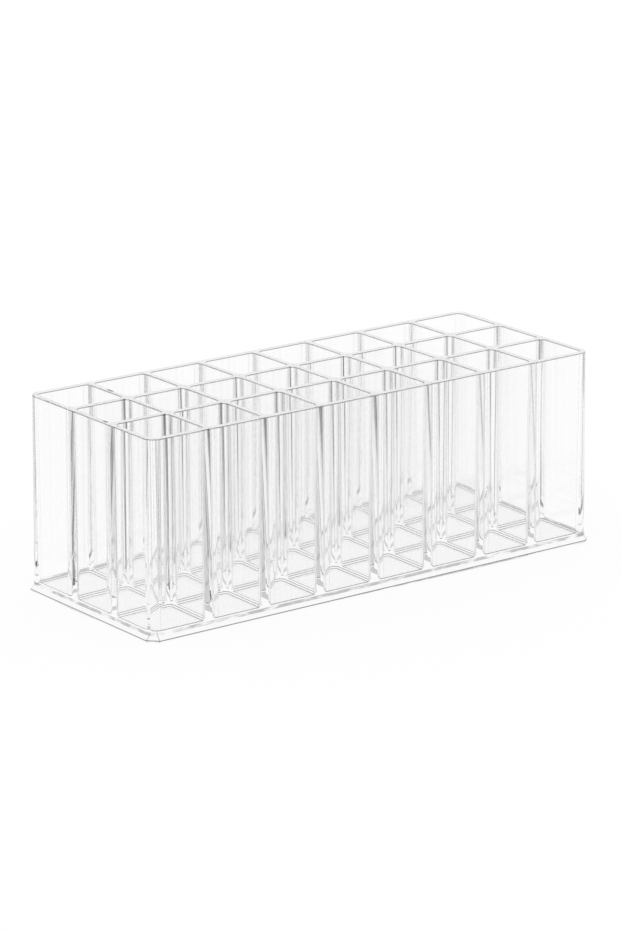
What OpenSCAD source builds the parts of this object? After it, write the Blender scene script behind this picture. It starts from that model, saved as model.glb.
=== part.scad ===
// Clear divided vanity organizer: a drafted outer shell, two long dividers and seven
// cross dividers that lap into each other, and a base tray with a bevelled foot.
// Origin: centre of the foot's underside. +X runs along the length, +Y to the back, +Z up.

/* [Cells] */
// Clear width of one cell at the rim, along the length
cell_w = 24.6; // [18:0.1:36]
// Clear depth of one cell at the rim, front to back
cell_d = 25; // [18:0.1:36]
// Upright corner radius inside a cell
cell_corner_r = 2.1; // [1.2:0.1:5]

/* [Walls] */
// Overall height from the table to the rim
height = 81; // [50:0.5:120]
// Width of the rim on the outer walls and on every divider
rim_t = 2.4; // [1.6:0.1:4]
// How far a cell's face leans in between the rim and the floor
inner_draft = 0.6; // [0.2:0.05:1.2]
// How far the outside leans out between the rim and the base
outer_draft = 0.55; // [0.2:0.05:1.2]
// Upright corner radius of the outside
outer_corner_r = 4.8; // [3:0.1:9]

/* [Base tray] */
// Thickness of the floor, from the table to the floor of a cell
floor_t = 3; // [2:0.1:5]
// Height of the kerbs that the shell and the dividers stand on
kerb_h = 1; // [0.6:0.1:1.8]
// Reach of the foot past the wall above it, at the foot's widest line
foot_reach = 1.4; // [0.6:0.1:3]
// Height of the foot's widest line above the table
foot_line_h = 0.9; // [0.4:0.1:1.6]
// How far the foot's bottom edge is set in from its widest line
foot_setback = 0.5; // [0.2:0.05:0.9]
// Leg of the cut-off corner of the foot, seen from above
foot_corner = 4; // [2:0.1:7]

/* [Hidden] */

// Cells along the length and from front to back
cells_across = 8;
cells_deep = 3;
// Chords in a rounded upright corner and in the fillet round a cell's floor
corner_steps = 6;
fillet_steps = 2;
// Overrun of every cut past the face that it opens
overrun = 0.5;
// The part of a corner radius over which a rib reaches along a divider's face
rib_share = 0.8;
// The floor fillet's largest part of the kerb's height and of the corner radius
fillet_share = 0.8;

pitch_x = cell_w + rim_t;
pitch_y = cell_d + rim_t;
kerb_z = floor_t + kerb_h;
// The half laps meet halfway up the dividers
lap_z = (kerb_z + height) / 2;
rib_w = rib_share * cell_corner_r;
floor_fillet = fillet_share * min(kerb_h, cell_corner_r);

// The inner and the outer face of the outer walls at the rim, from the middle
rim_inner_x = (cells_across * pitch_x - rim_t) / 2;
rim_inner_y = (cells_deep * pitch_y - rim_t) / 2;
rim_outer_x = rim_inner_x + rim_t;
rim_outer_y = rim_inner_y + rim_t;

// Every face is drafted: these say how far it has moved from the rim at height z
function lean_in(z) = inner_draft * (height - z) / (height - floor_t);
function lean_out(z) = outer_draft * (height - z) / (height - floor_t);

function inner_x(z) = rim_inner_x - lean_in(z);
function inner_y(z) = rim_inner_y - lean_in(z);
function outer_x(z) = rim_outer_x + lean_out(z);
function outer_y(z) = rim_outer_y + lean_out(z);
// Half the thickness of a divider
function half_t(z) = rim_t / 2 + lean_in(z);

// Middle of a cell, counted from the left and from the front
function cell_x(i) = (i - (cells_across - 1) / 2) * pitch_x;
function cell_y(j) = (j - (cells_deep - 1) / 2) * pitch_y;
// Middle of a divider, counted from the left and from the front
function cross_x(i) = cell_x(i) - pitch_x / 2;
function long_y(j) = cell_y(j) - pitch_y / 2;

// A ring of points round an upright rectangle, anticlockwise from above
function rect_ring(x, y, z, half_x, half_y) = [
    [x + half_x, y + half_y, z],
    [x - half_x, y + half_y, z],
    [x - half_x, y - half_y, z],
    [x + half_x, y - half_y, z]
];

// The same with round corners
function round_ring(x, y, z, half_x, half_y, r) = [
    for (q = [0:3])
        for (k = [0:corner_steps])
            let (
                a = (q + k / corner_steps) * 90,
                side_x = (q == 0 || q == 3) ? 1 : -1,
                side_y = (q < 2) ? 1 : -1
            )
            [
                x + side_x * (half_x - r) + r * cos(a),
                y + side_y * (half_y - r) + r * sin(a),
                z
            ]
];

// The same with straight cut-off corners
function cut_ring(z, half_x, half_y, leg) = [
    for (q = [0:3])
        for (k = [0:corner_steps])
            let (
                run = k / corner_steps,
                u = (q % 2 == 0) ? run : 1 - run,
                side_x = (q == 0 || q == 3) ? 1 : -1,
                side_y = (q < 2) ? 1 : -1
            )
            [side_x * (half_x - leg * u), side_y * (half_y - leg * (1 - u)), z]
];

// A closed solid through rings of equal length, listed from the lowest up
module loft(rings) {
    n = len(rings[0]);
    levels = len(rings);
    points = [for (ring = rings) for (p = ring) p];
    foot = [for (i = [0:n - 1]) i];
    top = [for (i = [n - 1:-1:0]) (levels - 1) * n + i];
    sides = [
        for (level = [0:levels - 2])
            for (i = [0:n - 1])
                let (
                    a = level * n + i,
                    b = a + n,
                    c = (level + 1) * n + (i + 1) % n,
                    d = c - n
                )
                for (face = [[a, b, c], [a, c, d]]) face
    ];
    polyhedron(points = points, faces = concat([foot], [top], sides), convexity = 6);
}

// The clear space of one cell: a fillet round its floor, then straight drafted sides
module cell_space(i, j) {
    function half_w(z) = cell_w / 2 - lean_in(z);
    function half_d(z) = cell_d / 2 - lean_in(z);
    fillet_rings = [
        for (k = [0:fillet_steps])
            let (
                a = 90 * k / fillet_steps,
                z = floor_t + floor_fillet * (1 - cos(a)),
                inset = floor_fillet * (1 - sin(a))
            )
            round_ring(
                cell_x(i), cell_y(j), z,
                half_w(z) - inset, half_d(z) - inset, cell_corner_r - inset
            )
    ];
    top_z = height + overrun;
    mouth = round_ring(cell_x(i), cell_y(j), top_z, half_w(top_z), half_d(top_z), cell_corner_r);
    loft(concat(fillet_rings, [mouth]));
}

// The dividers' plain drafted plates, from wall to wall
module cross_plate(i, low, high) {
    loft([for (z = [low, high]) rect_ring(cross_x(i), 0, z, half_t(z), inner_y(z))]);
}

module long_plate(j, low, high) {
    loft([for (z = [low, high]) rect_ring(0, long_y(j), z, inner_x(z), half_t(z))]);
}

// The space above the lap where two plates cross: the long divider runs through it
module crossing(i, j) {
    loft([
        for (z = [lap_z, height + 2 * overrun])
            rect_ring(cross_x(i), long_y(j), z, half_t(z) + overrun, half_t(z))
    ]);
}

// The space beside a long divider's end that the shell's corner rib fills
module end_corner(j, side_x, side_y) {
    function mid_x(z) = inner_x(z) + (overrun - rib_w) / 2;
    function mid_y(z) = half_t(z) + (overrun + rib_w) / 2;
    loft([
        for (z = [kerb_z - overrun, height + overrun])
            rect_ring(
                side_x * mid_x(z), long_y(j) + side_y * mid_y(z), z,
                (overrun + rib_w) / 2, (overrun + rib_w) / 2
            )
    ]);
}

// A long divider with the round corner ribs that hold the cross dividers on both sides
module long_divider(j) {
    difference() {
        loft([
            for (z = [kerb_z, height])
                rect_ring(0, long_y(j), z, inner_x(z), half_t(z) + rib_w)
        ]);
        for (i = [0:cells_across - 1])
            for (row = [j - 1, j])
                cell_space(i, row);
        for (side_x = [-1, 1])
            for (side_y = [-1, 1])
                end_corner(j, side_x, side_y);
        difference() {
            for (i = [1:cells_across - 1])
                cross_plate(i, kerb_z - overrun, height + overrun);
            for (i = [1:cells_across - 1])
                crossing(i, j);
        }
    }
}

// A cross divider, slotted from its top edge down to the lap
module cross_divider(i) {
    color([0.86, 0.9, 0.93, 0.5])
        difference() {
            cross_plate(i, kerb_z, height);
            for (j = [1:cells_deep - 1])
                crossing(i, j);
        }
}

// The four outer walls in one piece, with the corner ribs at the dividers' ends
module outer_shell() {
    color([0.82, 0.87, 0.91, 0.5])
        difference() {
            loft([
                for (z = [kerb_z, height])
                    round_ring(0, 0, z, outer_x(z), outer_y(z), outer_corner_r)
            ]);
            loft([
                for (z = [kerb_z - overrun, height + overrun])
                    rect_ring(0, 0, z, inner_x(z) - rib_w, inner_y(z) - rib_w)
            ]);
            for (i = [0:cells_across - 1])
                for (j = [0:cells_deep - 1])
                    if (i == 0 || i == cells_across - 1 || j == 0 || j == cells_deep - 1)
                        cell_space(i, j);
            for (i = [1:cells_across - 1])
                cross_plate(i, kerb_z - overrun, height + overrun);
            for (j = [1:cells_deep - 1])
                long_plate(j, kerb_z - overrun, height + overrun);
        }
}

// The floor with its kerbs, cell pans and the bevelled foot round the outside
module base_tray() {
    wide_x = outer_x(floor_t) + foot_reach;
    wide_y = outer_y(floor_t) + foot_reach;
    color([0.78, 0.84, 0.88, 0.5])
        difference() {
            loft([
                cut_ring(0, wide_x - foot_setback, wide_y - foot_setback, foot_corner),
                cut_ring(foot_line_h, wide_x, wide_y, foot_corner),
                round_ring(0, 0, floor_t, outer_x(floor_t), outer_y(floor_t), outer_corner_r),
                round_ring(0, 0, kerb_z, outer_x(kerb_z), outer_y(kerb_z), outer_corner_r)
            ]);
            for (i = [0:cells_across - 1])
                for (j = [0:cells_deep - 1])
                    hull() cell_space(i, j);
        }
}

module long_divider_front() {
    color([0.84, 0.89, 0.92, 0.5]) long_divider(1);
}

module long_divider_back() {
    color([0.84, 0.89, 0.92, 0.5]) long_divider(2);
}

base_tray();
outer_shell();
long_divider_front();
long_divider_back();
cross_divider(1);  // cross_divider_1
cross_divider(2);  // cross_divider_2
cross_divider(3);  // cross_divider_3
cross_divider(4);  // cross_divider_4
cross_divider(5);  // cross_divider_5
cross_divider(6);  // cross_divider_6
cross_divider(7);  // cross_divider_7
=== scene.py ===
"""Clear divided vanity organizer: a drafted shell, lapped dividers and a bevelled base tray."""

import math

import bpy
import numpy as np
from bpy.props import FloatProperty, FloatVectorProperty, PointerProperty
from bpy.types import Operator, Panel, PropertyGroup
from mathutils import Matrix, Vector
from mathutils.geometry import tessellate_polygon


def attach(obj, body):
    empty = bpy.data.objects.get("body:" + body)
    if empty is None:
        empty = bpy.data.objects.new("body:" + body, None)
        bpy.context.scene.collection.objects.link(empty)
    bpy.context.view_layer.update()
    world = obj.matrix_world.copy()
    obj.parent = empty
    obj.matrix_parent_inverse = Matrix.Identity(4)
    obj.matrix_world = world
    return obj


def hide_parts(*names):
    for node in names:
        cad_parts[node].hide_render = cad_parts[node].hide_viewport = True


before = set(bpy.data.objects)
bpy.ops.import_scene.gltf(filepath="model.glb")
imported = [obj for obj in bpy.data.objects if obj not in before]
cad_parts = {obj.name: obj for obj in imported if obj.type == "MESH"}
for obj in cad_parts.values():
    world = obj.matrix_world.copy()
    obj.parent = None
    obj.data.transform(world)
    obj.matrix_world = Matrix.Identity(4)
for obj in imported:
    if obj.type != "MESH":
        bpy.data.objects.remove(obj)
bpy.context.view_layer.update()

bl_info = {
    "name": "Clear vanity organizer",
    "version": (1, 0, 0),
    "blender": (4, 5, 0),
    "location": "3D View > Sidebar > Organizer",
    "description": "Builds a clear divided vanity organizer and the studio that it stands in",
    "category": "Object",
}

MM = 0.001
CELLS_ACROSS = 8
CELLS_DEEP = 3
# Chords in a quarter turn: a cell's upright corner, an outside corner, the rim's edge, the fillet
CORNER_STEPS = 12
OUTSIDE_STEPS = 24
RIM_STEPS = 5
FILLET_STEPS = 8
QUARTER = math.pi / 2
# Radius of a cell floor's fillet, as a part of the kerb's height
FILLET_SHARE = 0.95
# Half the thickness of the bond between two pieces
BOND = 0.004 * MM
# Places in metres that agree to this many decimals are one point
WELD_DECIMALS = 8
# Normals that agree to this many decimals are one direction
NORMAL_DECIMALS = 1
# Faces that meet at more than this stay creased
CREASE = math.radians(30)
# How much more a larger face counts in a shared normal, from 1 to 100
FACE_WEIGHT = 100


def length(name, description, default_mm, low_mm, high_mm):
    """A size of the organizer, kept in metres."""
    return FloatProperty(
        name=name, description=description, default=default_mm * MM, min=low_mm * MM,
        max=high_mm * MM, unit="LENGTH", subtype="DISTANCE", precision=5,
    )


def darkening(name, description, default):
    """How much of the light a mark on a face takes away. On the rim, foot, facet, fillet and corner
    lines that is painted shade.
    """
    return FloatProperty(
        name=name, description=description, default=default, min=0, max=1, subtype="FACTOR"
    )


class OrganizerSizes(PropertyGroup):
    height: length("Height", "From the table to the rim", 81, 50, 120)
    cell_width: length("Cell width", "Clear width of a cell at the rim", 24.6, 18, 36)
    cell_depth: length("Cell depth", "Clear depth of a cell at the rim", 25, 18, 36)
    cell_corner: length("Cell corner", "Upright corner radius in a cell", 2.1, 1.2, 5)
    rim_width: length("Rim width", "Width of every rim", 2.4, 1.6, 4)
    rim_rounding: length("Rim rounding", "Radius of the rims' edges", 0.6, 0.1, 0.9)
    inner_draft: length("Inner draft", "Lean of a cell's face down to the floor", 0.6, 0.2, 1.2)
    outer_draft: length("Outer draft", "Lean of the outside down to the floor", 0.55, 0.2, 1.2)
    outer_corner: length("Outer corner", "Upright corner radius outside", 4.8, 3, 9)
    floor_thickness: length("Floor", "From the table to a cell's floor", 3, 2, 5)
    kerb_height: length("Kerb", "Height of the kerbs under the walls", 1, 0.6, 1.8)
    foot_reach: length("Foot reach", "Reach of the foot past the wall", 1.4, 0.6, 3)
    foot_line: length("Foot line", "Height of the foot's widest line", 0.9, 0.4, 1.6)
    foot_setback: length("Foot setback", "Set-in of the foot's bottom edge", 0.5, 0.2, 0.9)
    foot_corner: length("Foot corner", "Leg of the foot's cut-off corner", 4, 2, 7)


class PlasticFinish(PropertyGroup):
    tint: FloatVectorProperty(
        name="Tint", description="Colour of the clear plastic", subtype="COLOR", size=3,
        default=(1.0, 1.0, 1.0), min=0, max=1,
    )
    index: FloatProperty(
        name="Index", description="Refractive index of the plastic", default=1.49, min=1.3, max=1.7,
    )
    polish: FloatProperty(
        name="Polish", description="Roughness of the moulded faces", subtype="FACTOR",
        default=0.0, min=0, max=1,
    )
    # Painted shade: a dark line on the rims' rolled edges, where refraction darkens them
    rim_shade_line: darkening("Rim line", "Dulling of the rims' rolled edges", 0.78)
    # Painted shadow: a dark line along the foot's widest edge, for the shadow under the foot
    foot_line: darkening("Foot line", "Dulling of the foot's widest edge", 0.9)
    # A broken darker band round the outside of the wall's base, in noise patches
    base_line: darkening("Base line", "Dulling of the broken line at the wall's base", 0.7)
    # Painted shade: dark lines at the edges of the foot's cut-off corners
    facet_shade_line: darkening("Facet line", "Dulling of the edges of the foot's cut-off corners", 0.6)
    mottle: darkening("Mottle", "Dulling of the mottled patches on the cell floors", 0.04)
    # Painted shade: thin dark lines at the bottom and the top of the cell floors' fillets
    fillet_shade_line: darkening("Fillet line", "Dulling of the thin lines round the cell floors", 0.85)
    # Painted shade: thin dark lines beside the cells' corners, where refraction darkens the wall
    corner_shade_line: darkening("Corner line", "Dulling of the thin lines beside a cell's corners", 0.4)
    streaks: darkening("Streaks", "Dulling of the faint upright streaks", 0.003)
    ripple: length("Ripple", "Height of the faint ripples in the cell floors", 0.03, 0, 0.2)
    depth_colour: FloatVectorProperty(
        name="Depth colour", description="Colour that light takes on deep in the plastic",
        subtype="COLOR", size=3, default=(0.6, 0.6, 0.6), min=0, max=1,
    )
    depth: FloatProperty(
        name="Depth", description="How fast light takes on the depth colour, per metre",
        default=0.3, min=0, max=50,
    )


class StudioSetup(PropertyGroup):
    floor_colour: FloatVectorProperty(
        name="Floor", description="Colour of the table", subtype="COLOR", size=3,
        default=(1.0, 1.0, 1.0), min=0, max=1,
    )
    lens: FloatProperty(
        name="Lens", description="Focal length in millimetres on a 36 mm long side",
        default=163.11, min=20, max=400,
    )


class Plan:
    """The organizer's plan at a column of heights z, as its faces lean and its rims round off.

    For height z: lean = draft (height - z) / (height - floor). Over the top quarter round of
    radius e, z = height - e (1 - sin a) and every face has rolled back by e (1 - cos a).
    """

    def __init__(self, sizes, z, roll):
        z = np.asarray(z, float)
        self.z = z
        self.roll = roll = np.asarray(roll, float)
        run = (sizes.height - z) / (sizes.height - sizes.floor_thickness)
        lean_in, lean_out = sizes.inner_draft * run, sizes.outer_draft * run
        pitch_x = sizes.cell_width + sizes.rim_width
        pitch_y = sizes.cell_depth + sizes.rim_width
        rim_x = (CELLS_ACROSS * pitch_x - sizes.rim_width) / 2
        rim_y = (CELLS_DEEP * pitch_y - sizes.rim_width) / 2
        self.corner = sizes.cell_corner
        self.arc = sizes.cell_corner + roll
        self.half = sizes.rim_width / 2 + lean_in
        self.face = self.half - roll
        self.inner_x, self.inner_y = rim_x - lean_in, rim_y - lean_in
        self.outer_x = rim_x + sizes.rim_width + lean_out - roll
        self.outer_y = rim_y + sizes.rim_width + lean_out - roll
        self.outer_arc = sizes.outer_corner - roll
        self.cell_x = (np.arange(CELLS_ACROSS) - (CELLS_ACROSS - 1) / 2) * pitch_x
        self.cell_y = (np.arange(CELLS_DEEP) - (CELLS_DEEP - 1) / 2) * pitch_y
        self.cross_x = self.cell_x[1:] - pitch_x / 2
        self.long_y = self.cell_y[1:] - pitch_y / 2
        self.open_x = sizes.cell_width / 2 - lean_in
        self.open_y = sizes.cell_depth / 2 - lean_in

    @staticmethod
    def heights(sizes, *below):
        """Heights and rolls from the given plain heights up through the rim's quarter round."""
        a = np.linspace(0, QUARTER, RIM_STEPS + 1)
        edge = sizes.rim_rounding
        z = np.concatenate([below, sizes.height - edge * (1 - np.sin(a))])
        roll = np.concatenate([np.zeros(len(below)), edge * (1 - np.cos(a))])
        return z, roll


def kerb_top(sizes):
    return sizes.floor_thickness + sizes.kerb_height


def lap_height(sizes):
    """The half laps meet halfway up the dividers."""
    return (kerb_top(sizes) + sizes.height) / 2


def points(x, y):
    """Plan points from two columns or tables over the levels, as levels x points x 2."""
    x, y = np.broadcast_arrays(x, y)
    if x.ndim == 1:
        x, y = x[:, None], y[:, None]
    return np.stack([x, y], -1)


def arc(x, y, radius, start, steps=CORNER_STEPS, turn=1):
    """A quarter arc at each level: centre + radius (cos t, sin t), t from start over 90 degrees."""
    t = start + turn * np.linspace(0, QUARTER, steps + 1)
    x, y, radius = (np.asarray(v, float) for v in np.broadcast_arrays(x, y, radius))
    return points(
        x[:, None] + radius[:, None] * np.cos(t), y[:, None] + radius[:, None] * np.sin(t)
    )


class Ring:
    """A closed plan outline at every level, with a mark on each edge that is a bonded seam."""

    def __init__(self):
        self.parts, self.seams = [], []

    def add(self, part, seam=False, last_seam=None):
        """Appends points. Every edge from them is a seam or not, the last one by last_seam."""
        marks = [seam] * part.shape[1]
        if last_seam is not None:
            marks[-1] = last_seam
        self.parts.append(part)
        self.seams += marks
        return self

    def arrays(self):
        return np.concatenate(self.parts, 1), np.array(self.seams)

    def turned(self):
        """The same outline followed by itself turned half round about the origin."""
        flat, seams = self.arrays()
        both = Ring()
        both.parts, both.seams = [flat, -flat], list(seams) * 2
        return both


class Solid:
    """Collects faces in world metres, welds their shared points and makes a closed mesh."""

    def __init__(self):
        self.tables, self.faces, self.seam = [], [], []
        self.count = 0

    def _add(self, table, faces, seam):
        self.tables.append(np.asarray(table, float).reshape(-1, 3))
        self.faces += [[i + self.count for i in face] for face in faces]
        self.seam += list(seam)
        self.count += len(self.tables[-1])

    def walls(self, rings, z, seam, centre=(0, 0), inward=False):
        """Quads between each ring and the next one up: levels x points, carried round."""
        levels, n = rings.shape[:2]
        table = np.empty((levels, n, 3))
        table[..., :2] = rings + np.asarray(centre, float)
        table[..., 2] = np.asarray(z)[:, None]
        i = np.arange(n)
        low = i[None] + n * np.arange(levels - 1)[:, None]
        nxt = (i + 1) % n + n * np.arange(levels - 1)[:, None]
        quads = np.stack([low, nxt, nxt + n, low + n], -1)
        if inward:
            quads = quads[..., ::-1]
        marks = np.broadcast_to(seam, (levels - 1, n))
        self._add(table, quads.reshape(-1, 4).tolist(), marks.ravel().tolist())

    def cap(self, ring, z, seam, up=True, centre=(0, 0)):
        """One flat face over a ring that runs anticlockwise from above."""
        flat = np.column_stack([ring + np.asarray(centre, float), np.full(len(ring), z)])
        order = list(range(len(ring)))
        self._add(flat, [order if up else order[::-1]], [seam])

    def holed_cap(self, outline, holes, z, seam, up=True):
        """A flat face with holes, as triangles."""
        loops = [np.column_stack([r, np.full(len(r), z)]) for r in [outline, *holes]]
        table = np.concatenate(loops)
        triangles = np.array(tessellate_polygon([[Vector(p) for p in r] for r in loops]))
        a, b, c = (table[triangles[:, k]] for k in range(3))
        rising = np.cross(b - a, c - a)[:, 2] > 0
        triangles[rising != up] = triangles[rising != up][:, ::-1]
        self._add(table, triangles.tolist(), [seam] * len(triangles))

    def build(self, name, materials):
        """Points closer than a hundredth of a micron become one, then the mesh is made."""
        table = np.concatenate(self.tables)
        _, first, place = np.unique(
            np.round(table, WELD_DECIMALS), axis=0, return_index=True, return_inverse=True
        )
        place = place.ravel()
        mesh = bpy.data.meshes.new(name)
        mesh.from_pydata(
            table[first].tolist(), [], [place[face].tolist() for face in self.faces]
        )
        for material in materials:
            mesh.materials.append(material)
        mesh.polygons.foreach_set("material_index", np.array(self.seam, np.int32))
        mesh.polygons.foreach_set("use_smooth", np.ones(len(self.faces), bool))
        mesh.update()
        draw_back_seams(mesh, np.array(self.seam, bool))
        mesh.set_sharp_from_angle(angle=CREASE)
        piece = bpy.data.objects.new(name, mesh)
        bpy.context.scene.collection.objects.link(piece)
        weighted = piece.modifiers.new("Face weighted normals", "WEIGHTED_NORMAL")
        weighted.keep_sharp = True
        weighted.weight = FACE_WEIGHT
        return piece


def draw_back_seams(mesh, seam):
    """Leaves the bond's thin gap: a seam's points move in by BOND along each seam's normal."""
    loops = np.empty(len(mesh.loops), np.int64)
    mesh.loops.foreach_get("vertex_index", loops)
    sizes = np.empty(len(mesh.polygons), np.int64)
    mesh.polygons.foreach_get("loop_total", sizes)
    normals = np.empty(len(mesh.polygons) * 3)
    mesh.polygons.foreach_get("normal", normals)
    face = np.repeat(np.arange(len(sizes)), sizes)
    on_seam = seam[face]
    rounded = np.round(normals.reshape(-1, 3)[face[on_seam]], NORMAL_DECIMALS)
    pairs = np.unique(np.column_stack([loops[on_seam], rounded]), axis=0)
    place = np.empty(len(mesh.vertices) * 3)
    mesh.vertices.foreach_get("co", place)
    place = place.reshape(-1, 3)
    np.add.at(place, pairs[:, 0].astype(int), -BOND * pairs[:, 1:])
    mesh.vertices.foreach_set("co", place.ravel())
    mesh.update()


# The pieces


def divider_side(plan, crossings):
    """The front side of a long divider's plan, left to right, with its ribs at the crossings.

    At a crossing x, with face h, half thickness t and corner radius r: an arc about
    (x - t - r, -t - r) from the long face to the rib's tip, the pocket's corners (x - h, -h) and
    (x + h, -h), and an arc about (x + t + r, -t - r) back to the long face.
    """
    side = Ring()
    reach = plan.half + plan.corner
    for x in crossings:
        side.add(arc(x - reach, -reach, plan.arc, QUARTER, turn=-1), last_seam=True)
        side.add(points(x - plan.face, -plan.face), seam=True)
        side.add(points(x + plan.face, -plan.face), seam=True)
        side.add(arc(x + reach, -reach, plan.arc, 2 * QUARTER, turn=-1))
    return side


def long_divider(sizes, row, name, materials):
    """The divider over the whole length: eight blocks below the lap, one bar above it."""
    solid = Solid()
    plan = Plan(sizes, *Plan.heights(sizes, lap_height(sizes)))
    y = plan.long_y[row]
    end = plan.inner_x + plan.roll
    tangent = plan.inner_x - plan.corner
    side = Ring()
    side.add(points(-end, -plan.face), seam=True)
    side.add(points(-tangent, -plan.face))
    crossings = divider_side(plan, plan.cross_x)
    side.parts += crossings.parts
    side.seams += crossings.seams
    side.add(points(tangent, -plan.face), seam=True)
    side.add(points(end, -plan.face), seam=True)
    ring, seams = side.turned().arrays()
    solid.walls(ring, plan.z, seams, centre=(0, y))
    solid.cap(ring[-1], plan.z[-1], False, centre=(0, y))
    low = Plan(sizes, [kerb_top(sizes), lap_height(sizes)], [0, 0])
    reach, face = low.half + low.corner, low.face
    for x in low.cross_x:
        box = np.concatenate(
            [points(x - face, -face), points(x + face, -face),
             points(x + face, face), points(x - face, face)], 1
        )
        solid.cap(box[-1], low.z[-1], True, up=False, centre=(0, y))
    edges = [None, *low.cross_x, None]
    for left, right in zip(edges, edges[1:]):
        ring = Ring()
        if left is None:
            ring.add(points(-low.inner_x, -face), seam=True)
            ring.add(points(corner_x(low, -1), -face))
        else:
            ring.add(points(left + face, -face), seam=True)
            ring.add(arc(left + reach, -reach, low.arc, 2 * QUARTER, turn=-1))
        if right is None:
            ring.add(points(corner_x(low, 1), -face), seam=True)
            ring.add(points(low.inner_x, -face), seam=True)
            ring.add(points(low.inner_x, face), seam=True)
            ring.add(points(corner_x(low, 1), face))
        else:
            ring.add(arc(right - reach, -reach, low.arc, QUARTER, turn=-1), last_seam=True)
            ring.add(points(right - face, -face), seam=True)
            ring.add(points(right - face, face), seam=True)
            ring.add(arc(right - reach, reach, low.arc, 0, turn=-1))
        if left is None:
            ring.add(points(corner_x(low, -1), face), seam=True)
            ring.add(points(-low.inner_x, face), seam=True)
        else:
            ring.add(arc(left + reach, reach, low.arc, 3 * QUARTER, turn=-1), last_seam=True)
            ring.add(points(left + face, face), seam=True)
        outline, seams = ring.arrays()
        solid.walls(outline, low.z, seams, centre=(0, y))
        solid.cap(outline[0], low.z[0], True, up=False, centre=(0, y))
    return solid.build(name, materials)


def corner_x(plan, side):
    """Where the corner rib of an end wall ends on a long divider's face."""
    return side * (plan.inner_x - plan.corner)


def cross_divider(sizes, column, name, materials):
    """The divider from front to back: one plate below the lap, three blocks above it."""
    solid = Solid()
    low = Plan(sizes, [kerb_top(sizes), lap_height(sizes)], [0, 0])
    x = low.cross_x[column]
    reach, face = low.half + low.corner, low.face
    end, tangent = low.inner_y, low.inner_y - low.corner
    front, back = low.long_y
    stops = [
        (-end, True), (-tangent, False),
        (front - reach, True), (front - face, True), (front + face, True), (front + reach, False),
        (back - reach, True), (back - face, True), (back + face, True), (back + reach, False),
        (tangent, True), (end, True),
    ]
    side = Ring()
    for y, seam in stops:
        side.add(points(face, y), seam=seam)
    ring, seams = side.turned().arrays()
    solid.walls(ring, low.z, seams, centre=(x, 0))
    solid.cap(ring[0], low.z[0], True, up=False, centre=(x, 0))
    for y in (front, back):
        box = np.concatenate(
            [points(-face, y - face), points(face, y - face),
             points(face, y + face), points(-face, y + face)], 1
        )
        solid.cap(box[-1], low.z[-1], True, centre=(x, 0))
    plan = Plan(sizes, *Plan.heights(sizes, lap_height(sizes)))
    reach, face = plan.half + plan.corner, plan.face
    end, tangent = plan.inner_y + plan.roll, plan.inner_y - plan.corner
    blocks = [
        ((-end, True), (-tangent, False), (front - reach, True), (front - face, True)),
        ((front + face, True), (front + reach, False), (back - reach, True), (back - face, True)),
        ((back + face, True), (back + reach, False), (tangent, True), (end, True)),
    ]
    for block in blocks:
        ring = Ring()
        for y, seam in block:
            ring.add(points(face, y), seam=seam)
        marks = [seam for _, seam in block]
        back_marks = marks[-2::-1] + [True]
        for (y, _), seam in zip(block[::-1], back_marks):
            ring.add(points(-face, y), seam=seam)
        outline, seams = ring.arrays()
        solid.walls(outline, plan.z, seams, centre=(x, 0))
        solid.cap(outline[-1], plan.z[-1], False, centre=(x, 0))
    return solid.build(name, materials)


def wall_side(plan, inner, along, crossings):
    """One wall's inside, anticlockwise, in its own axes: u along the wall, d out from the middle.

    It begins with the corner cell's arc about (r - along, inner - r). At a divider u, with face h,
    half thickness t and corner radius r, come the rib's arc about (u - t - r, inner - r), the
    pocket's corners (u - h, inner) and (u + h, inner), and the arc about (u + t + r, inner - r).
    """
    ring = Ring()
    centre_d = inner - plan.corner
    pocket = inner + plan.roll
    reach = plan.half + plan.corner
    ring.add(arc(plan.corner - along, centre_d, plan.arc, 2 * QUARTER, turn=-1))
    for u in crossings:
        ring.add(arc(u - reach, centre_d, plan.arc, QUARTER, turn=-1), last_seam=True)
        ring.add(points(u - plan.face, pocket), seam=True)
        ring.add(points(u + plan.face, pocket), seam=True)
        ring.add(arc(u + reach, centre_d, plan.arc, 2 * QUARTER, turn=-1))
    return ring


def outer_shell(sizes, name, materials):
    """The four outer walls: a round-cornered outside and a ribbed inside."""
    solid = Solid()
    plan = Plan(sizes, *Plan.heights(sizes, kerb_top(sizes)))
    parts, seams = [], []
    for turn in range(4):
        if turn % 2 == 0:
            side = wall_side(plan, plan.inner_y, plan.inner_x, plan.cross_x)
        else:
            side = wall_side(plan, plan.inner_x, plan.inner_y, plan.long_y)
        flat, marks = side.arrays()
        u, d = flat[..., 0], flat[..., 1]
        x, y = ((u, -d), (d, u), (-u, d), (-d, -u))[turn]
        parts.append(np.stack([x, y], -1))
        seams += list(marks)
    inner = np.concatenate(parts, 1)
    outer = round_ring(plan.outer_x, plan.outer_y, plan.outer_arc, OUTSIDE_STEPS)
    solid.walls(outer, plan.z, False)
    solid.walls(inner, plan.z, np.array(seams), inward=True)
    solid.holed_cap(outer[-1], [inner[-1]], plan.z[-1], False)
    solid.holed_cap(outer[0], [inner[0]], plan.z[0], True, up=False)
    return solid.build(name, materials)


def round_ring(half_x, half_y, radius, steps=CORNER_STEPS, centre=(0, 0)):
    """A rectangle with quarter arcs for corners, anticlockwise from its right side's top."""
    x, y = half_x - radius, half_y - radius
    corners = ((x, y), (-x, y), (-x, -y), (x, -y))
    ring = [arc(*at, radius, k * QUARTER, steps) for k, at in enumerate(corners)]
    return np.concatenate(ring, 1) + np.asarray(centre, float)


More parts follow.
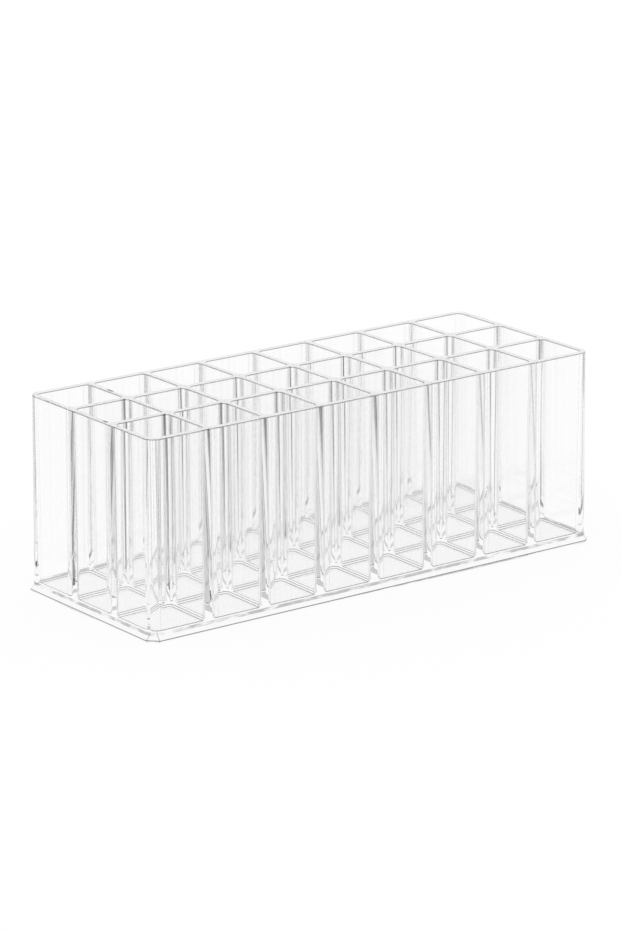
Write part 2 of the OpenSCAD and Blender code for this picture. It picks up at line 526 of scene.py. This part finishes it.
def cut_ring(half_x, half_y, leg, steps):
    """The same with straight cut-off corners, with as many points."""
    run = np.linspace(0, 1, steps + 1)
    half_x, half_y, leg = (np.atleast_1d(v).astype(float)[:, None] for v in (half_x, half_y, leg))
    parts = []
    for k, (sx, sy) in enumerate(((1, 1), (-1, 1), (-1, -1), (1, -1))):
        u = run if k % 2 == 0 else 1 - run
        parts.append(points(sx * (half_x - leg * u), sy * (half_y - leg * (1 - u))))
    return np.concatenate(parts, 1)


def base_tray(sizes, name, materials):
    """The floor: a bevelled foot outside, and a filleted pan for every cell."""
    solid = Solid()
    floor, kerb = sizes.floor_thickness, kerb_top(sizes)
    wall = Plan(sizes, [floor, kerb], [0, 0])
    wide_x, wide_y = wall.outer_x[0] + sizes.foot_reach, wall.outer_y[0] + sizes.foot_reach
    set_in = np.array([sizes.foot_setback, 0])
    foot = cut_ring(wide_x - set_in, wide_y - set_in, np.full(2, sizes.foot_corner), OUTSIDE_STEPS)
    upper = round_ring(wall.outer_x, wall.outer_y, wall.outer_arc, OUTSIDE_STEPS)
    rings = np.concatenate([foot, upper])
    solid.walls(rings, [0, sizes.foot_line, floor, kerb], False)
    solid.cap(rings[0], 0, True, up=False)
    a = np.linspace(0, QUARTER, FILLET_STEPS + 1)
    fillet = FILLET_SHARE * sizes.kerb_height
    z = np.concatenate([floor + fillet * (1 - np.cos(a)), [kerb]])
    inset = np.concatenate([fillet * (1 - np.sin(a)), [0]])
    pan = Plan(sizes, z, np.zeros(len(z)))
    mouths = []
    for x in pan.cell_x:
        for y in pan.cell_y:
            ring = round_ring(
                pan.open_x - inset, pan.open_y - inset, pan.corner - inset, centre=(x, y)
            )
            solid.walls(ring, z, False, inward=True)
            solid.cap(ring[0], z[0], False)
            mouths.append(ring[-1])
    solid.holed_cap(rings[-1], mouths, kerb, True)
    return solid.build(name, materials)


# The shader expressions


class Value:
    """A node's output that can stand in sums: every operator adds its Math node."""

    def __init__(self, graph, socket):
        self.graph, self.socket = graph, socket

    def _math(self, operation, *values):
        return self.graph.add(
            "ShaderNodeMath", {"operation": operation}, dict(enumerate(values))
        )

    def __add__(self, other):
        return self._math("ADD", self, other)

    def __radd__(self, other):
        return self._math("ADD", other, self)

    def __sub__(self, other):
        return self._math("SUBTRACT", self, other)

    def __rsub__(self, other):
        return self._math("SUBTRACT", other, self)

    def __mul__(self, other):
        return self._math("MULTIPLY", self, other)

    def __rmul__(self, other):
        return self._math("MULTIPLY", other, self)

    def larger(self, other):
        return self._math("MAXIMUM", self, other)

    def smaller(self, other):
        return self._math("MINIMUM", self, other)

    def size(self):
        return self._math("ABSOLUTE", self)

    def at_least(self, count):
        """1 where a whole number is the count or more, and 0 where it is less."""
        return self._math("GREATER_THAN", self, count - 0.5)

    def wrap(self, high):
        """Brings the value into 0 ... high by whole steps."""
        return self._math("WRAP", self, high, 0.0)


class Graph:
    """A material's or the world's nodes."""

    def __init__(self, owner):
        owner.use_nodes = True
        self.tree = owner.node_tree
        self.tree.nodes.clear()

    def add(self, kind, settings=None, inputs=None, out=0):
        """Adds a node: its settings first, then its sockets by name or number."""
        node = self.tree.nodes.new(kind)
        for name, value in (settings or {}).items():
            setattr(node, name, value)
        for name, value in (inputs or {}).items():
            if isinstance(value, Value):
                self.tree.links.new(value.socket, node.inputs[name])
            else:
                node.inputs[name].default_value = value
        return Value(self, node.outputs[out]) if node.outputs else None

    def vector_math(self, operation, inputs, out=0):
        """Adds a Vector Math node."""
        return self.add("ShaderNodeVectorMath", {"operation": operation}, inputs, out)

    def place(self):
        """The place on the object, in metres."""
        return self.add("ShaderNodeTexCoord", out="Object")

    def coordinate(self, vector, axis):
        """One of a vector's three numbers, by the name of its axis."""
        return self.add("ShaderNodeSeparateXYZ", {}, {"Vector": vector}, axis)


# The plastic

# Noises: cycles per metre along each axis, and the detail
WALL_WAVES = ((320, 320, 7), 2.0)
BASE_PATCHES = ((170, 170, 500), 3.0)
FLOOR_TEXTURE = ((600, 600, 600), 6.0)
# The noises' values at which the streaks, the base line's pieces and the mottle begin and are full
STREAK_NOISE = (0.4, 0.75)
PATCH_NOISE = (0.28, 0.58)
MOTTLE_NOISE = (0.3, 0.7)
# Height of the ripples in the walls, as a part of those in the cell floors
WALL_RIPPLE = 0.02
# Where the painted shade lines begin and end: in roundings below the rim, in heights of the
# foot's widest edge, and in kerb heights above the cell floors
RIM_SHADE_LINE = (1.0, 0.45)
FOOT_SHADOW_LINE = (0.8, 1.2)
LOW_FILLET_SHADE = (0.03, 0.2)
HIGH_FILLET_SHADE = (0.65, 0.98)
# The base line's lower edge below the floor's level, and its upper edge in kerb heights above it
BASE_LINE_DROP = 0.25 * MM
BASE_LINE_TOP = 0.85
# Half the height of the band that takes in the cell floors
PAN_BAND = 0.05 * MM
# Half the width of the painted shade lines beside a cell's corners, and how far past the ribs
# they are drawn
CORNER_SHADE_LINE = 0.1 * MM
CORNER_MARGIN = 1 * MM
# Half the width of the painted shade lines at the facets' edges, and how far inside the wall's face
# they begin and are full
FACET_SHADE_LINE = 0.15 * MM
FACET_START = (1 * MM, 0.5 * MM)
# The lengths over which the marks' ends fade
SOFT_FADE, FADE, SHORT_FADE, HAIR_FADE = 0.15 * MM, 0.1 * MM, 0.05 * MM, 0.02 * MM


def clear_plastic(graph, finish, clear, relief):
    """Finishes a clear plastic whose faces tint light by tint x clear and ripple by relief. clear
    carries the painted shade lines as well as the plastic's own marks.
    """
    colour = graph.vector_math("SCALE", {0: finish.tint, "Scale": clear})
    ripple = graph.add(
        "ShaderNodeBump", {}, {"Height": relief, "Distance": finish.ripple, "Strength": 1.0}
    )
    shader = graph.add(
        "ShaderNodeBsdfPrincipled", {},
        {
            "Base Color": colour, "Roughness": finish.polish, "IOR": finish.index,
            "Transmission Weight": 1.0, "Normal": ripple,
        },
    )
    body = graph.add(
        "ShaderNodeVolumeAbsorption", {},
        {"Color": (*finish.depth_colour, 1), "Density": finish.depth},
    )
    graph.add("ShaderNodeOutputMaterial", {}, {"Surface": shader, "Volume": body})


def wall_plastic(finish, sizes):
    """The walls' plastic: the product of 1 - mark over all of its marks.

    They are a line of painted shade on the rims' rolled edges, thin upright lines of painted shade
    beside the cells' corners on the inside of the outer walls, and faint upright streaks.
    """
    material = bpy.data.materials.new("clear_wall_plastic")
    graph = Graph(material)
    place = graph.place()
    rise = graph.coordinate(place, "Z")
    low, high = (sizes.height - share * sizes.rim_rounding for share in RIM_SHADE_LINE)
    # Painted shade on the lower part of the rims' rolled edges
    rim = zone(graph, rise, low, high, FADE)
    waves = noise(graph, place, *WALL_WAVES)
    # Painted shade lines beside the cells' corners, kept to the inside of the outer walls
    lines = corner_shade_lines(graph, place, rise, sizes)
    top = Plan(sizes, [sizes.height], [0])
    reach = sizes.cell_corner + sizes.inner_draft + CORNER_MARGIN
    lines = lines * outside(graph, place, top, reach) * (1 - outside(graph, place, top))
    clear = (1 - rim * finish.rim_shade_line) * (1 - lines * finish.corner_shade_line)
    clear = clear * (1 - ramp(graph, waves, *STREAK_NOISE) * finish.streaks)
    clear_plastic(graph, finish, clear, waves * WALL_RIPPLE)
    return material


def corner_shade_lines(graph, place, rise, sizes):
    """1 within a hair of the upright lines where a cell's round corners meet its flat faces, which
    marks where painted shade goes.

    With x and y counted from a cell's middle and its faces leant in to half widths w and d, a
    corner of radius r meets them at |x| = w - r and at |y| = d - r.
    """
    run = (sizes.height - rise) * (1 / (sizes.height - sizes.floor_thickness))
    near = []
    for axis, opening, cells in (
        ("X", sizes.cell_width, CELLS_ACROSS), ("Y", sizes.cell_depth, CELLS_DEEP)
    ):
        pitch = opening + sizes.rim_width
        in_cell = (graph.coordinate(place, axis) + cells * pitch / 2).wrap(pitch) - pitch / 2
        start = opening / 2 - sizes.cell_corner - run * sizes.inner_draft
        away = (in_cell.size() - start).size()
        near.append(1 - ramp(graph, away, CORNER_SHADE_LINE / 2, CORNER_SHADE_LINE))
    return near[0].larger(near[1])


def tray_plastic(finish, sizes):
    """The tray's plastic: the product of 1 - mark over all of its marks.

    They are a painted shadow line on the foot's widest edge, a broken darker line round the wall's
    base, painted shade lines on each side of the foot's cut-off corners, mottled patches on the
    cell floors, and a thin painted shade line at the bottom and the top of each fillet.
    """
    material = bpy.data.materials.new("clear_tray_plastic")
    graph = Graph(material)
    place = graph.place()
    rise = graph.coordinate(place, "Z")
    floor, kerb = sizes.floor_thickness, sizes.kerb_height
    wall = Plan(sizes, [floor], [0])
    # Painted shadow along the foot's widest edge
    edge = zone(graph, rise, *(share * sizes.foot_line for share in FOOT_SHADOW_LINE), FADE)
    out = outside(graph, place, wall)
    # A broken darker band round the outside of the wall's base
    base = zone(graph, rise, floor - BASE_LINE_DROP, floor + BASE_LINE_TOP * kerb, SOFT_FADE) * out
    broken = ramp(graph, noise(graph, place, *BASE_PATCHES), *PATCH_NOISE)
    # Painted shade at the edges of the foot's cut-off corners
    facet = facet_shade_edges(graph, place, wall, sizes) * out
    pans = zone(graph, rise, floor - PAN_BAND, floor + PAN_BAND, SHORT_FADE)
    texture = noise(graph, place, *FLOOR_TEXTURE)
    # Painted shade at the bottom and the top of each fillet, inside the cells
    low_fillet_shade, high_fillet_shade = (
        zone(graph, rise, *(floor + share * kerb for share in line), fade)
        for line, fade in ((LOW_FILLET_SHADE, HAIR_FADE), (HIGH_FILLET_SHADE, SHORT_FADE))
    )
    clear = 1 - edge * finish.foot_line
    clear = clear * (1 - base * broken * finish.base_line) * (1 - facet * finish.facet_shade_line)
    clear = clear * (1 - pans * ramp(graph, texture, *MOTTLE_NOISE) * finish.mottle)
    clear = clear * (1 - (low_fillet_shade + high_fillet_shade) * (1 - out) * finish.fillet_shade_line)
    clear_plastic(graph, finish, clear, pans * texture)
    return material


def facet_shade_edges(graph, place, plan, sizes):
    """1 within a hair of the upright edges of the foot's cut-off corners, which marks where painted
    shade goes.

    With u = |x| - (wide x - cut) and v = |y| - (wide y - cut), a corner's edges are the lines
    u = 0 beside the long walls and v = 0 beside the end walls.
    """
    near = []
    x, y = (graph.coordinate(place, axis).size() for axis in "XY")
    wall_x, wall_y = float(plan.outer_x[0]), float(plan.outer_y[0])
    for along, across, edge, far in ((x, y, wall_x, wall_y), (y, x, wall_y, wall_x)):
        line = edge + sizes.foot_reach - sizes.foot_corner
        beside = ramp(graph, across, *(far - start for start in FACET_START))
        near.append(zone(graph, along, line - FACET_SHADE_LINE, line + FACET_SHADE_LINE, FADE) * beside)
    return near[0].larger(near[1])


def outside(graph, place, plan, reach=0):
    """1 past the middle line of the outer walls, drawn in by a reach, and 0 within it."""
    past = [
        graph.coordinate(place, axis).size() - (float(inner + outer) / 2 - reach)
        for axis, inner, outer in (
            ("X", plan.inner_x[0], plan.outer_x[0]), ("Y", plan.inner_y[0], plan.outer_y[0])
        )
    ]
    return ramp(graph, past[0].larger(past[1]), 0.0, FADE)


def zone(graph, value, low, high, fade):
    """1 between two values and 0 beyond them, with ends that fade."""
    return ramp(graph, value, low - fade, low) * ramp(graph, value, high + fade, high)


def ramp(graph, value, start, full):
    """0 on the start's side, 1 past full, which may lie above or below it, smooth between."""
    return graph.add(
        "ShaderNodeMapRange", {"interpolation_type": "SMOOTHSTEP"},
        {"Value": value, "From Min": start, "From Max": full},
    )


def noise(graph, place, scale, detail):
    """Noise with its own scale along each axis."""
    stretched = graph.add(
        "ShaderNodeMapping", {"vector_type": "POINT"}, {"Vector": place, "Scale": scale}
    )
    return graph.add(
        "ShaderNodeTexNoise", {}, {"Vector": stretched, "Scale": 1.0, "Detail": detail}, "Fac"
    )


def bonded_seam():
    """The face between two bonded pieces: light passes it as if the plastic ran on."""
    material = bpy.data.materials.new("bonded_seam")
    graph = Graph(material)
    shader = graph.add("ShaderNodeBsdfTransparent", {}, {"Color": (1, 1, 1, 1)})
    graph.add("ShaderNodeOutputMaterial", {}, {"Surface": shader})
    return material


def plastic(context, make=wall_plastic):
    """A piece's two materials: its plastic, made by the first piece that has it, and its seams."""
    scene = context.scene
    name = "clear_" + make.__name__
    found = bpy.data.materials.get(name) or make(scene.organizer_finish, scene.organizer_sizes)
    return [found, bpy.data.materials.get("bonded_seam") or bonded_seam()]


def finish_piece(piece, node):
    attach(piece, "root")
    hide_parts(node)


class ORGANIZER_OT_base_tray(Operator):
    """Make the base tray with its foot, kerbs and cell pans"""

    bl_idname = "organizer.base_tray"
    bl_label = "Base Tray"

    def execute(self, context):
        materials = plastic(context, tray_plastic)
        piece = base_tray(context.scene.organizer_sizes, "clear_base_tray", materials)
        finish_piece(piece, "base_tray")
        return {"FINISHED"}


class ORGANIZER_OT_outer_shell(Operator):
    """Make the four outer walls with the ribs inside them"""

    bl_idname = "organizer.outer_shell"
    bl_label = "Outer Shell"

    def execute(self, context):
        piece = outer_shell(context.scene.organizer_sizes, "clear_outer_shell", plastic(context))
        finish_piece(piece, "outer_shell")
        return {"FINISHED"}


class ORGANIZER_OT_long_dividers(Operator):
    """Make the two dividers that run the whole length"""

    bl_idname = "organizer.long_dividers"
    bl_label = "Long Dividers"

    def execute(self, context):
        for row, place in enumerate(("front", "back")):
            name = f"clear_long_divider_{place}"
            piece = long_divider(context.scene.organizer_sizes, row, name, plastic(context))
            finish_piece(piece, f"long_divider_{place}")
        return {"FINISHED"}


class ORGANIZER_OT_cross_dividers(Operator):
    """Make the seven dividers that run from front to back"""

    bl_idname = "organizer.cross_dividers"
    bl_label = "Cross Dividers"

    def execute(self, context):
        for column in range(CELLS_ACROSS - 1):
            name = f"clear_cross_divider_{column + 1}"
            piece = cross_divider(context.scene.organizer_sizes, column, name, plastic(context))
            finish_piece(piece, f"cross_divider_{column + 1}")
        return {"FINISHED"}


# The studio

CAMERA_PLACE = (-0.9808, -1.3041, 0.5205)
CAMERA_YAW = math.radians(36.8963)
CAMERA_PITCH = math.radians(16.3494)
CAMERA_ROLL = math.radians(-0.1155)
CAMERA_SENSOR = 36
CAMERA_CLIP = (0.05, 50)
# How often a ray may be bent or thrown back: the 24 cells put many faces behind each other
BOUNCES = 96
TABLE_RADIUS = 6.0
TABLE_SIDES = 96
# How far the table lies under the foot
TABLE_GAP = 0.0002
# The part of the table's white that shadows leave alone
TABLE_GLOW = 0.94
# Light from the walls and the ceiling that reaches the eye off a face of the plastic
ROOM_LIGHT = 0.75
# The table's light for rays that faces of the plastic have thrown back 0, 1, 2 ... times
THROWN = (1, 1, 0.6, 1, 1, 0.3, 0.97, 1, 1, 0.9, 0.9, 0.9, 0.9, 0.97)
# The studio's unlit side: the part of the table's light left on it, the throws from which it is
# seen, its direction in plan, and the cosines about it at which it begins and is full
SIDE_LIGHT = 0.25
SIDE_THROWS = 2
SIDE = (-0.087, -0.996, 0.0)
SIDE_EDGE = (0.5, 0.7)
# The strip of table under the walls and the foot, to each side of the walls' middle line. It stays
# bright, because it lights the rims' flat tops
UNDER_WALL = 3 * MM
# The dim card behind the left end: the part of the table's light left on it, the throws from
# which it is seen, and those from which the part of it under the cells isn't seen
CARD_LIGHT = 0.2
CARD_THROWS = 4
UNSEEN_THROWS = 6
# The direction across the card. In metres, the card lies where the distance along that direction
# falls past CARD_EDGE and x rises past CARD_LEFT, and everywhere past CORNER_EDGE. Under the cells
# it lies only where y rises past CARD_FRONT
CARD_ACROSS = (0.8, -0.6, 0.0)
CARD_EDGE = (-0.062, -0.066)
CARD_LEFT = (-0.105, -0.1)
CARD_FRONT = (-0.006, -0.002)
CORNER_EDGE = (-0.106, -0.109)


def studio_camera(setup):
    data = bpy.data.cameras.new("photo_camera")
    data.sensor_width = CAMERA_SENSOR
    data.sensor_fit = "AUTO"
    data.lens = setup.lens
    data.clip_start, data.clip_end = CAMERA_CLIP
    camera = bpy.data.objects.new("photo_camera", data)
    turn = Matrix.Rotation(-CAMERA_YAW, 4, "Z") @ Matrix.Rotation(QUARTER - CAMERA_PITCH, 4, "X")
    camera.matrix_world = (
        Matrix.Translation(CAMERA_PLACE) @ turn @ Matrix.Rotation(CAMERA_ROLL, 4, "Z")
    )
    bpy.context.scene.collection.objects.link(camera)
    bpy.context.scene.camera = camera


def studio_floor(setup, sizes):
    """A round table top, just under the foot: points radius (cos t, sin t).

    Rays that the eye follows find the table lit by itself for the most part, so that shadows on it
    stay faint, and all other rays find plain diffuse white.
    """
    t = np.linspace(0, 2 * math.pi, TABLE_SIDES + 1)[:-1]
    ring = np.column_stack([np.cos(t), np.sin(t), np.zeros(len(t))]) * TABLE_RADIUS
    ring[:, 2] = -TABLE_GAP
    mesh = bpy.data.meshes.new("table_top")
    mesh.from_pydata(ring.tolist(), [], [list(range(len(t)))])
    material = bpy.data.materials.new("table_white")
    graph = Graph(material)
    diffuse = graph.add("ShaderNodeBsdfDiffuse", {}, {"Color": (*setup.floor_colour, 1)})
    shade = table_shade(graph, sizes)
    glow = graph.add("ShaderNodeEmission", {}, {"Color": shade, "Strength": 1.0})
    own_light = seen_rays(graph) * TABLE_GLOW
    mix = graph.add("ShaderNodeMixShader", {}, {0: own_light, 1: diffuse, 2: glow})
    graph.add("ShaderNodeOutputMaterial", {}, {"Surface": mix})
    mesh.materials.append(material)
    floor = bpy.data.objects.new("table_top", mesh)
    bpy.context.scene.collection.objects.link(floor)


def table_shade(graph, sizes):
    """The table's own light: the level for a ray's throws, dimmed on the unlit side and the card.

    The level is THROWN[0] plus, for each count that the throws reach, the step from the count
    before. The unlit side and the card each multiply it by 1 - there x (1 - light left there).
    """
    place = graph.place()
    ground = Plan(sizes, [0], [0])
    clear_of_foot = outside(graph, place, ground, -UNDER_WALL)
    under_cells = 1 - outside(graph, place, ground, UNDER_WALL)
    throws = graph.add("ShaderNodeLightPath", out="Glossy Depth")
    shade = THROWN[0]
    for count in range(1, len(THROWN)):
        shade = throws.at_least(count) * (THROWN[count] - THROWN[count - 1]) + shade
    side = dim_side(graph, place) * clear_of_foot
    shade = shade * (1 - throws.at_least(SIDE_THROWS) * side * (1 - SIDE_LIGHT))
    across = graph.vector_math("DOT_PRODUCT", {0: place, 1: CARD_ACROSS}, "Value")
    card = ramp(graph, across, *CARD_EDGE) * ramp(graph, graph.coordinate(place, "X"), *CARD_LEFT)
    below = ramp(graph, graph.coordinate(place, "Y"), *CARD_FRONT) * under_cells
    below = below * (1 - throws.at_least(UNSEEN_THROWS))
    card = card * clear_of_foot.larger(below)
    card = card.larger(ramp(graph, across, *CORNER_EDGE))
    card = card * throws.at_least(CARD_THROWS)
    return shade * (1 - card * (1 - CARD_LIGHT))


def seen_rays(graph):
    """1 for rays that the eye follows: from the camera, off gloss and through clear plastic."""
    camera = graph.add("ShaderNodeLightPath", out="Is Camera Ray")
    gloss = graph.add("ShaderNodeLightPath", out="Is Glossy Ray")
    through = graph.add("ShaderNodeLightPath", out="Is Transmission Ray")
    return camera.larger(gloss).larger(through)


def thrown_rays(graph):
    """1 for rays that a face of the plastic has thrown back at least once on their way."""
    return graph.add("ShaderNodeLightPath", out="Glossy Depth").smaller(1.0)


def dim_side(graph, place):
    """1 towards the studio's unlit side, seen from the middle of the table in plan."""
    level = graph.vector_math("MULTIPLY", {0: place, 1: (1, 1, 0)})
    level = graph.vector_math("NORMALIZE", {0: level})
    along = graph.vector_math("DOT_PRODUCT", {0: level, 1: SIDE}, "Value")
    return ramp(graph, along, *SIDE_EDGE)


def studio_world():
    """White all round: 1, or ROOM_LIGHT for seen rays that the plastic has thrown back."""
    world = bpy.data.worlds.new("studio")
    bpy.context.scene.world = world
    graph = Graph(world)
    shade = 1 - seen_rays(graph) * thrown_rays(graph) * (1 - ROOM_LIGHT)
    background = graph.add("ShaderNodeBackground", {}, {"Color": shade, "Strength": 1.0})
    graph.add("ShaderNodeOutputWorld", {}, {"Surface": background})


class ORGANIZER_OT_studio(Operator):
    """Set the table, the soft light and the camera"""

    bl_idname = "organizer.studio"
    bl_label = "Studio"

    def execute(self, context):
        setup = context.scene.organizer_studio
        scene = context.scene
        scene.view_settings.view_transform = "Standard"
        scene.cycles.max_bounces = BOUNCES
        scene.cycles.transmission_bounces = BOUNCES
        scene.cycles.glossy_bounces = BOUNCES
        scene.cycles.transparent_max_bounces = BOUNCES
        studio_floor(setup, scene.organizer_sizes)
        studio_world()
        studio_camera(setup)
        return {"FINISHED"}


class ORGANIZER_PT_parts(Panel):
    """Everything that builds the organizer and its studio"""

    bl_label = "Vanity Organizer"
    bl_space_type = "VIEW_3D"
    bl_region_type = "UI"
    bl_category = "Organizer"

    def draw(self, context):
        for kind in STEPS:
            self.layout.operator(kind.bl_idname)
        for group in ("organizer_sizes", "organizer_finish", "organizer_studio"):
            settings = getattr(context.scene, group)
            box = self.layout.box()
            for name in settings.__annotations__:
                box.prop(settings, name)


STEPS = (
    ORGANIZER_OT_base_tray,
    ORGANIZER_OT_outer_shell,
    ORGANIZER_OT_long_dividers,
    ORGANIZER_OT_cross_dividers,
    ORGANIZER_OT_studio,
)
CLASSES = (OrganizerSizes, PlasticFinish, StudioSetup, *STEPS, ORGANIZER_PT_parts)


def register():
    for kind in CLASSES:
        bpy.utils.register_class(kind)
    bpy.types.Scene.organizer_sizes = PointerProperty(type=OrganizerSizes)
    bpy.types.Scene.organizer_finish = PointerProperty(type=PlasticFinish)
    bpy.types.Scene.organizer_studio = PointerProperty(type=StudioSetup)


def unregister():
    for name in ("organizer_sizes", "organizer_finish", "organizer_studio"):
        delattr(bpy.types.Scene, name)
    for kind in reversed(CLASSES):
        bpy.utils.unregister_class(kind)


def main():
    register()
    for kind in STEPS:
        group, name = kind.bl_idname.split(".")
        getattr(getattr(bpy.ops, group), name)()


if __name__ == "__main__":
    main()
